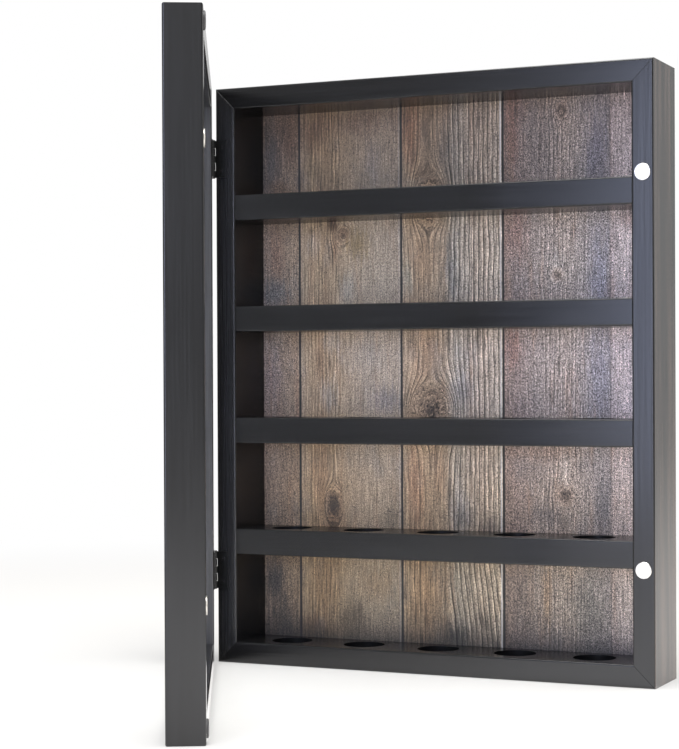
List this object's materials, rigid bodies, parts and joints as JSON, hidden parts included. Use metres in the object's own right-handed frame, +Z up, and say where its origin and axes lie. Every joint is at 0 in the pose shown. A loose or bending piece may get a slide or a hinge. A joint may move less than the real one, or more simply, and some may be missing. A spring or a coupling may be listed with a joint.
{
  "type": "golf ball display case",
  "caption": "Shallow black case with shelves of round ball seats, a plank back and a hinged clear door, to stand or hang on a wall.",
  "frame": {"origin": "centre of the case's footprint, at its base", "axes": "+X to the right seen from the front, +Y to the back and the wall, +Z up"},
  "size_m": [0.3772, 0.3841, 0.45],
  "materials": {
    "black_wood": "satin black lacquer over fine grain",
    "planks": "semi-gloss weathered plank grain",
    "clear_pane": "clear acrylic sheet",
    "dowel_wood": "bare beech",
    "nail_steel": "bright steel",
    "magnet_nickel": "nickel plate",
    "hinge_black": "black oxide",
    "hanger_zinc": "zinc plate",
    "bumper_rubber": "dark soft pad"
  },
  "bodies": {
    "case": {"case_left_stile": "black_wood", "case_right_stile": "black_wood", "case_top_rail": "black_wood", "case_bottom_rail": "black_wood", "back_panel": "planks", "shelf_1": "black_wood", "shelf_2": "black_wood", "shelf_3": "black_wood", "shelf_4": "black_wood", "shelf_dowels": "dowel_wood", "case_corner_nails": "nail_steel", "case_magnet_upper": "magnet_nickel", "case_magnet_lower": "magnet_nickel", "upper_hinge_case_leaf": "hinge_black", "lower_hinge_case_leaf": "hinge_black", "upper_hinge_pin": "hinge_black", "lower_hinge_pin": "hinge_black", "case_hinge_screws": "hinge_black", "keyhole_plate_left": "hanger_zinc", "keyhole_plate_right": "hanger_zinc", "keyhole_screws": "hanger_zinc"},
    "door": {"door_hinge_stile": "black_wood", "door_free_stile": "black_wood", "door_top_rail": "black_wood", "door_bottom_rail": "black_wood", "door_pane": "clear_pane", "door_corner_nails": "nail_steel", "door_magnet_upper": "magnet_nickel", "door_magnet_lower": "magnet_nickel", "door_bumper_upper": "bumper_rubber", "door_bumper_lower": "bumper_rubber", "upper_hinge_door_leaf": "hinge_black", "lower_hinge_door_leaf": "hinge_black", "door_hinge_screws": "hinge_black"}
  },
  "joints": [
    {"name": "door_hinge", "type": "hinge", "parent": "case", "child": "door", "pos_m": [-0.1784, -0.02975, 0.225], "axis": [0, 0, -1], "range_deg": [-62, 113]}
  ]
}
